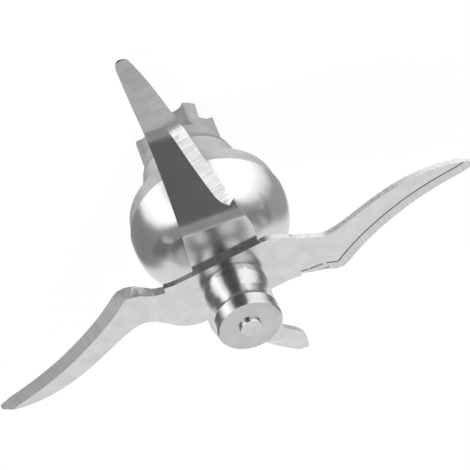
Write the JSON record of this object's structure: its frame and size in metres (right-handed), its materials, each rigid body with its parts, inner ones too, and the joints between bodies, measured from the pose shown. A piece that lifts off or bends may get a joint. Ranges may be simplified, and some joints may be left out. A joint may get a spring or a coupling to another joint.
{
  "type": "food processor blade",
  "caption": "Rotating knife set of a food processor bowl: curved bevelled wings on a bearing shaft with a domed cover, flanged housing, waisted hub cap and lobed drive coupling.",
  "frame": {"origin": "centre of the drive coupling's end face, on the shaft's axis, where the part stands on a table", "axes": "+Z along the shaft from the drive coupling up to the hub cap; +X roughly along the upper blade, +Y along the lower blade"},
  "size_m": [0.1222, 0.1132, 0.0694],
  "materials": {
    "blade_steel": "polished sheet with ground bevels",
    "polished_steel": "mirror polished",
    "turned_steel": "turned and polished",
    "cast_metal": "satin",
    "coupling_metal": "matte blasted",
    "shaft_steel": "machined",
    "spring_steel": "dark spring steel",
    "bearing_steel": "ground",
    "cage_steel": "pressed sheet",
    "seal_rubber": "matte"
  },
  "bodies": {
    "housing": {"bearing_housing": "cast_metal", "dome_cover": "polished_steel", "housing_retaining_ring": "spring_steel", "seal_case": "shaft_steel", "seal_lip": "seal_rubber", "garter_spring": "spring_steel", "upper_bearing_outer_ring": "bearing_steel", "upper_bearing_shields": "cage_steel", "lower_bearing_outer_ring": "bearing_steel", "lower_bearing_shields": "cage_steel"},
    "rotor": {"shaft": "shaft_steel", "hub_cap": "turned_steel", "upper_blade": "blade_steel", "lower_blade": "blade_steel", "drive_coupling": "coupling_metal", "coupling_screw": "shaft_steel", "screw_washer": "shaft_steel", "bearing_spacer": "shaft_steel", "shaft_retaining_ring": "spring_steel", "upper_bearing_inner_ring": "bearing_steel", "lower_bearing_inner_ring": "bearing_steel"},
    "upper_cage": {"upper_bearing_cage": "cage_steel", "upper_bearing_balls": "bearing_steel"},
    "lower_cage": {"lower_bearing_cage": "cage_steel", "lower_bearing_balls": "bearing_steel"}
  },
  "joints": [
    {"name": "rotor_spin", "type": "hinge", "parent": "housing", "child": "rotor", "pos_m": [0, 0, 0.0328], "axis": [0, 0, 1], "continuous": true},
    {"name": "upper_cage_spin", "type": "hinge", "parent": "housing", "child": "upper_cage", "pos_m": [0, 0, 0.0328], "axis": [0, 0, 1], "continuous": true},
    {"name": "lower_cage_spin", "type": "hinge", "parent": "housing", "child": "lower_cage", "pos_m": [0, 0, 0.0199], "axis": [0, 0, 1], "continuous": true}
  ],
  "couplings": [
    {"joint": "upper_cage_spin", "follows": "rotor_spin", "ratio": 0.368},
    {"joint": "lower_cage_spin", "follows": "rotor_spin", "ratio": 0.3815}
  ]
}
